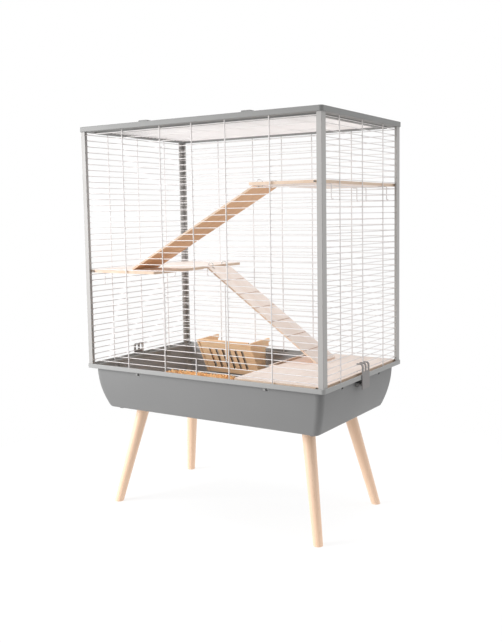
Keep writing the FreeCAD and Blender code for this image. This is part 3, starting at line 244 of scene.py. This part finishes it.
# Sizes of the legs and ramps, as in the CAD; a ramp's drop is how far it falls for each unit of X
LEG_SPLAY, LEG_HEIGHT = 0.059, 0.287
UPPER_DROP, LOWER_DROP = -0.5379, 0.7075
RAMP_HEAD = 0.004
GROOVE_PITCH, GROOVE_COUNT, GROOVE_HALF = 0.066, 6, 0.0008

# The painted shade in a groove, and the distance from the groove's middle at which it has faded out
GROOVE_SHADE_TONE, GROOVE_FADE = screen(176, 134, 104), 0.0014


def groove_shade_share(paint, run, up, lines):
    """How much painted shade a groove gets: 1 on the upper face in a groove, and 0 elsewhere, by the distance
    to the nearest groove.

    Lines is the run of the first groove and of the last; the grooves between them repeat at the pitch.
    """
    first, last = lines
    away = (run - first).maths("PINGPONG", GROOVE_PITCH / 2)
    within = run.maths("COMPARE", (first + last) / 2, (last - first + GROOVE_PITCH) / 2)
    return paint.spread(away, GROOVE_HALF, GROOVE_FADE, 1.0, 0.0) * within * paint.spread(up, *LOOKS_UP)


def timber(name, light, dark, along, roughness, edge=None, below=None, slits=None, lines=None):
    """Planed wood. Along gives, from x, y and z, a pair across the grain and a run along it.

    Wide bands and fine fibres are noise that is stretched along the grain; short dark flecks are its peaks.
    Edge and below are pairs of colours of painted shade, for the faces that stand upright and for the face
    that looks down.
    Slits is a colour of painted shade for the faces that look along X, such as the walls of the slots, and
    lines gives the runs of cross grooves, which painted shade darkens.
    """
    paint = new_paint(name)
    first, second, run = along(*paint.place())

    def streaks(scale, stretch, detail):
        return paint.noise(first, second, run * stretch, scale, detail)
    bands, fibres, flecks = streaks(*BANDS), streaks(*FIBRES), streaks(*FLECKS)
    tone = (paint.spread(bands, *BAND_MIDDLE) * BAND_SHARE
            + paint.spread(fibres, *NOISE_MIDDLE) * (1 - BAND_SHARE))
    colour = paint.blend(tone, light, dark)
    across, _, up = paint.facing()
    # Painted shade: the faces that look along X, in the slots, take the dark slits colour
    if slits:
        colour = paint.blend(paint.spread(across.maths("ABSOLUTE"), *LOOKS_SIDEWAYS), colour, slits)
    # Painted shade: the faces that stand upright take the darker edge colours
    if edge:
        level = paint.spread(up.maths("ABSOLUTE"), *LOOKS_LEVEL)
        colour = paint.blend(level, paint.blend(tone, *edge), colour)
    # Painted shade: the faces that look down take the darker below colours
    if below:
        colour = paint.blend(paint.spread(up, *LOOKS_DOWN), paint.blend(tone, *below), colour)
    # Painted shade in the cross grooves of the upper face
    if lines:
        colour = paint.blend(groove_shade_share(paint, run, up, lines), colour, GROOVE_SHADE_TONE)
    fleck = paint.spread(flecks, *FLECK_PEAKS) * FLECK_SHARE
    return paint.finish(
        Base_Color=paint.blend(fleck, colour, darker(dark, FLECK_SHADE)),
        Roughness=paint.spread(fibres, *NOISE_MIDDLE, roughness - WOOD_SWING, roughness + WOOD_SWING),
        Normal=paint.relief(fibres, FIBRE_DEPTH))


def leg_grain(x, y, z):
    """Leg axes lean by the same slope both ways, so distance out from the middle plus slope times height is
    constant along each leg."""
    slope = LEG_SPLAY / LEG_HEIGHT
    return x.maths("ABSOLUTE") + z * slope, y.maths("ABSOLUTE") + z * slope, z


def depth_grain(x, y, z):
    return x, z, y


def width_grain(x, y, z):
    return y, z, x


def rise_grain(x, y, z):
    return x, y, z


def tilted_grain(drop):
    """Grain down a ramp that falls by drop for each unit of X."""
    length = math.hypot(1, drop)

    def along(x, y, z):
        run = (x - z * drop) * (1 / length)
        across = (z + x * drop) * (1 / length)
        return y, across, run
    return along


def groove_runs(pivot, drop):
    """Runs of a ramp's grooves: the lower and the higher one of the first groove and the last.

    The ramp starts a head's length above its pivot. Each groove begins a whole number of pitches from there,
    and its middle is half a groove farther on.
    """
    x, _, z = pivot
    way = math.copysign(1, drop)
    start = (x - z * drop) / math.hypot(1, drop) - way * RAMP_HEAD
    first = start + way * (GROOVE_PITCH + GROOVE_HALF)
    last = first + way * (GROOVE_COUNT - 1) * GROOVE_PITCH
    return min(first, last), max(first, last)


BEECH = (screen(248, 216, 189), screen(238, 198, 166))
PALE = (screen(247, 237, 231), screen(240, 224, 213))
RAMP = (screen(241, 230, 223), screen(234, 217, 206))
RACK = (screen(255, 224, 186), screen(255, 206, 158))
# Painted shade on the faces of the ramps that look down
UNDERSIDE_SHADE_TONES = (screen(236, 192, 150), screen(225, 174, 131))
# Painted shade on the upright faces of the boards and ramps
UPRIGHT_SHADE_TONES = (screen(226, 204, 184), screen(213, 184, 158))
# Painted shade on the rack's faces that look along X, in its slots
SLOT_SHADE_TONE = screen(84, 62, 44)
wear(timber("leg wood", *BEECH, leg_grain, roughness=0.42),
     "leg_front_left", "leg_front_right", "leg_back_left", "leg_back_right")
# Boards: painted shade on their upright faces
wear(timber("board wood", *PALE, depth_grain, roughness=0.6, edge=UPRIGHT_SHADE_TONES),
     "middle_board", "upper_board", "lower_board")
# Ramps: painted shade on the upright faces, on the undersides and in the grooves
for ramp, drop in (("upper_ramp", UPPER_DROP), ("lower_ramp", LOWER_DROP)):
    wear(timber(ramp.replace("_", " ") + " wood", *RAMP, tilted_grain(drop), roughness=0.6, edge=UPRIGHT_SHADE_TONES,
                below=UNDERSIDE_SHADE_TONES, lines=groove_runs(pivots[ramp + "_lift"], drop)), ramp)
# Rack: painted shade on the faces that look along X
wear(timber("rack wood", *RACK, width_grain, roughness=0.55, slits=SLOT_SHADE_TONE), "rack_front", "rack_base")
wear(timber("rack side wood", *RACK, rise_grain, roughness=0.55), "rack_left_side", "rack_right_side")

# Bedding: ranges are those of a shaving's length, width, bend and twist, and of how deep it sinks in
HEAP_CORNER, HEAP_ROUND = 0.07, 0.058
SIDE_SHARE = 0.2
STRIP_COUNT, STRIP_STEPS = 5400, 5
STRIP_THICK = 0.0003
STRIP_RANGES = ((0.009, 0.024), (0.003, 0.007), (0.6, 3.0), (-0.8, 0.8))
SINK_RANGE = (0.0005, 0.005)
LEAN_SCATTER = 0.35
TUFT_RISE, TUFT_START = 0.0015, 2
TUFT_WAVES = (61, 73, 47)
FLOOR_GAP = 0.0004
HEAP_SEED = 7
NEVER_ZERO = 1e-6
SHAVING_TONES = (screen(255, 230, 186), screen(255, 202, 142))


def shaving_paint():
    """Thin wood: each shaving has its own tone, kept in a mesh attribute."""
    paint = new_paint("shavings")
    tone = paint.node("ShaderNodeAttribute", output="Fac", attribute_name="tone")
    return paint.finish(Base_Color=paint.blend(tone, *SHAVING_TONES), Roughness=0.7)


def on_heap(rng, count):
    """Random points and outward directions on the heap, a block with rounded corners and a rounded top.

    Three times as many points are drawn as are kept, because some lie outside the rounded corners. Depth is
    how far a point of the plan lies inside the plan's outline; the top falls away in a quarter circle over
    the last bit of it. A share of the points is moved out to the outline and lies on the upright sides.
    """
    low, high = (np.array(corner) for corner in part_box("bedding"))
    middle, half = (low + high)[:2] / 2, (high - low)[:2] / 2
    plan = rng.uniform(-1, 1, (3 * count, 2)) * half
    past = np.abs(plan) - (half - HEAP_CORNER)
    beyond = np.maximum(past, 0)
    reach = np.linalg.norm(beyond, axis=1)
    depth = HEAP_CORNER - reach - np.minimum(past.max(axis=1), 0)
    inside = np.flatnonzero(depth > 0)[:count]
    plan, past, beyond, reach, depth = (part[inside] for part in (plan, past, beyond, reach, depth))
    flat = np.where(past[:, :1] > past[:, 1:], [[1.0, 0.0]], [[0.0, 1.0]])
    out = np.where(reach[:, None] > 0, beyond / np.maximum(reach, NEVER_ZERO)[:, None], flat) * np.sign(plan)
    fall = np.maximum(1 - depth / HEAP_ROUND, 0)
    height = high[2] - HEAP_ROUND * (1 - np.sqrt(1 - fall ** 2))
    on_side = rng.uniform(size=len(plan)) < SIDE_SHARE
    plan = np.where(on_side[:, None], plan + out * depth[:, None], plan)
    height = np.where(on_side, rng.uniform(low[2], high[2] - HEAP_ROUND, len(plan)), height)
    fall = np.where(on_side, 1.0, fall)
    ways = np.column_stack([out * fall[:, None], np.sqrt(1 - fall ** 2)])
    return np.column_stack([middle + plan, height]), ways


def curled_strips(rng):
    """Shavings along their own X axes: thin ribbons that bend round an arc, with a slight twist.

    T runs from minus a half to a half along a ribbon. The ribbon's middle is at the arc's radius times the
    sine of the turn, and at the radius times one less the cosine. The side is turned by the twist, and the
    face is square to the side and to the arc. Four corners at each step, half a width and half a thickness
    away, close the ribbon.
    """
    length, width, bend, twist = (rng.uniform(low, high, (STRIP_COUNT, 1)) for low, high in STRIP_RANGES)
    t = np.linspace(-0.5, 0.5, STRIP_STEPS)
    turn, lean = t * bend, t * twist
    zero = np.zeros_like(turn)
    middle = np.stack([np.sin(turn), zero, 1 - np.cos(turn)], axis=2) * (length / bend)[:, :, None]
    side = np.stack([zero, np.cos(lean), np.sin(lean)], axis=2) * width[:, :, None] / 2
    face = np.stack([-np.sin(turn) * np.cos(lean), -np.cos(turn) * np.sin(lean), np.cos(turn) * np.cos(lean)],
                    axis=2) * STRIP_THICK / 2
    back, front = middle - face, middle + face
    return np.stack([back - side, back + side, front + side, front - side], axis=2)


def strip_faces():
    """Four long sides of each ribbon, step by step, and its two ends, as numbers of corners."""
    corner = np.arange(4)
    after = np.roll(corner, -1)
    ring = np.stack([corner, after, after + 4, corner + 4], axis=1)
    sides = ring + 4 * np.arange(STRIP_STEPS - 1)[:, None, None]
    ends = np.stack([corner[::-1], corner + 4 * (STRIP_STEPS - 1)])
    ribbon = np.concatenate([sides.reshape(-1, 4), ends])
    return (ribbon + 4 * STRIP_STEPS * np.arange(STRIP_COUNT)[:, None, None]).reshape(-1, 4)


def unit(vectors):
    """Each row at a length of 1."""
    return vectors / np.linalg.norm(vectors, axis=1, keepdims=True)


def shaving_corners(rng):
    """Corners of all shavings, which lie at random on the heap, in low tufts.

    Each strip's own axes are a random direction along the heap, the one square to it, and the outward
    direction, leaned at random. Tufts are three sines of the place, along X, along Y and slantwise.
    """
    points, ups = on_heap(rng, STRIP_COUNT)
    lean = unit(ups + rng.normal(scale=LEAN_SCATTER, size=ups.shape))
    along = unit(np.cross(lean, rng.normal(size=ups.shape)))
    axes = np.stack([along, np.cross(lean, along), lean], axis=1)
    x, y, _ = points.T
    wave_x, wave_y, wave_slant = TUFT_WAVES
    tuft = np.sin(wave_x * x + TUFT_START) + np.sin(wave_y * y) + np.sin(wave_slant * (x - y))
    lift = TUFT_RISE * tuft - rng.uniform(*SINK_RANGE, STRIP_COUNT)
    places = points + ups * lift[:, None]
    corners = np.einsum("nsck,nkj->nscj", curled_strips(rng), axes) + places[:, None, None]
    corners = corners.reshape(-1, 3)
    floor_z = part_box("bedding")[0][2]
    corners[:, 2] = np.maximum(corners[:, 2], floor_z + FLOOR_GAP)
    return corners


def heap_of_shavings():
    """One mesh of all shavings; each shaving's corners share its tone."""
    rng = np.random.default_rng(HEAP_SEED)
    mesh = bpy.data.meshes.new("shavings")
    mesh.from_pydata(shaving_corners(rng).tolist(), [], strip_faces().tolist())
    tones = np.repeat(rng.uniform(0, 1, STRIP_COUNT), 4 * STRIP_STEPS)
    mesh.attributes.new("tone", "FLOAT", "POINT").data.foreach_set("value", tones.astype(np.float32))
    mesh.update()
    mesh.materials.append(shaving_paint())
    heap = bpy.data.objects.new("shavings", mesh)
    bpy.context.scene.collection.objects.link(heap)
    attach(heap, "cage")


heap_of_shavings()
wear(shaving_paint(), "bedding")

# Studio: the surround's light dims over a range of dot products, from one strength to another
FLOOR_SIZE, FLOOR_DROP = 2.4, 0.0005
FLOOR_GREY, FLOOR_GLOW = (0.25, 0.25, 0.25, 1.0), 0.78
FLOOR_FADE = (0.5, 1.1)
DIM_AHEAD, DIM_STRENGTH = (0.4, 0.97), (0.88, 0.15)
LIGHT_TARGET = (0, 0, 0.6)

# The photo's camera, with the lens and shifts in pixels of the photo
PHOTO_HEIGHT, SENSOR = 642, 36.0
FOCAL_PIXELS, SHIFT_X_PIXELS, SHIFT_Y_PIXELS = 820.4, -10, -25
CAMERA_PLACE = (1.2953, -1.954, 0.8389)
CAMERA_TURN, CAMERA_TIP, CAMERA_ROLL = math.radians(32.25), math.radians(90 - 5.64), math.radians(-0.85)


def studio_floor():
    """A pale floor under the cage that fades out into the white surround, by the distance from its middle."""
    bpy.ops.mesh.primitive_plane_add(size=FLOOR_SIZE, location=(0, 0, -FLOOR_DROP))
    floor = bpy.context.object
    floor.name = "floor"
    paint = new_paint("floor")
    x, y, _ = paint.place()
    away = (x * x + y * y).maths("SQRT")
    floor.data.materials.append(paint.finish(
        Base_Color=FLOOR_GREY, Roughness=0.9, Specular_IOR_Level=0.0,
        Emission_Color=WHITE, Emission_Strength=FLOOR_GLOW,
        Alpha=paint.spread(away, *FLOOR_FADE, 1.0, 0.0)))


def surround():
    """White for the rays that see it directly, in gloss or through glass; as light, a softer white that dims
    towards the camera's side.

    Ahead is the direction's dot product with the level direction from the cage to the camera.
    """
    world = bpy.data.worlds.new("surround")
    bpy.context.scene.world = world
    sky = Paint(world)
    way = sky.node("ShaderNodeTexCoord", output="Generated")
    camera_way = (math.sin(CAMERA_TURN), -math.cos(CAMERA_TURN), 0)
    ahead = sky.node("ShaderNodeVectorMath", (way, camera_way), output="Value", operation="DOT_PRODUCT")
    glow = sky.node("ShaderNodeBackground", (WHITE, sky.spread(ahead, *DIM_AHEAD, *DIM_STRENGTH)))
    white = sky.node("ShaderNodeBackground", (WHITE, 1.0))
    camera, gloss, glass = [sky.node("ShaderNodeLightPath", output=kind)
                            for kind in ("Is Camera Ray", "Is Glossy Ray", "Is Transmission Ray")]
    mix = sky.node("ShaderNodeMixShader", (camera + gloss + glass, glow, white))
    sky.plug(sky.tree.nodes["World Output"].inputs["Surface"], mix)


def softbox(name, place, size, power):
    """A square lamp that looks at the target that all lamps share."""
    light = bpy.data.lights.new(name, "AREA")
    light.shape = "SQUARE"
    light.size = size
    light.energy = power
    lamp = bpy.data.objects.new(name, light)
    bpy.context.scene.collection.objects.link(lamp)
    lamp.location = place
    lamp.rotation_euler = (Vector(LIGHT_TARGET) - Vector(place)).to_track_quat("-Z", "Y").to_euler()


def photo_camera():
    """The photo's camera: its place, turn and lens were fitted to the frame's corners in the photo."""
    data = bpy.data.cameras.new("camera")
    data.sensor_width = SENSOR
    data.lens = FOCAL_PIXELS / PHOTO_HEIGHT * SENSOR
    data.shift_x = SHIFT_X_PIXELS / PHOTO_HEIGHT
    data.shift_y = SHIFT_Y_PIXELS / PHOTO_HEIGHT
    camera = bpy.data.objects.new("camera", data)
    bpy.context.scene.collection.objects.link(camera)
    around = Matrix.Rotation(CAMERA_TURN, 4, "Z")
    tip = Matrix.Rotation(CAMERA_TIP, 4, "X")
    roll = Matrix.Rotation(CAMERA_ROLL, 4, "Z")
    camera.matrix_world = Matrix.Translation(CAMERA_PLACE) @ around @ tip @ roll
    bpy.context.scene.camera = camera


studio_floor()
surround()
softbox("key", (-1.9, -2.0, 1.1), size=1.4, power=74)
softbox("side", (1.9, 1.5, 0.9), size=0.9, power=5)
softbox("top", (0.1, 0.0, 3.2), size=1.8, power=30)
photo_camera()
bpy.context.scene.view_settings.view_transform = "Standard"
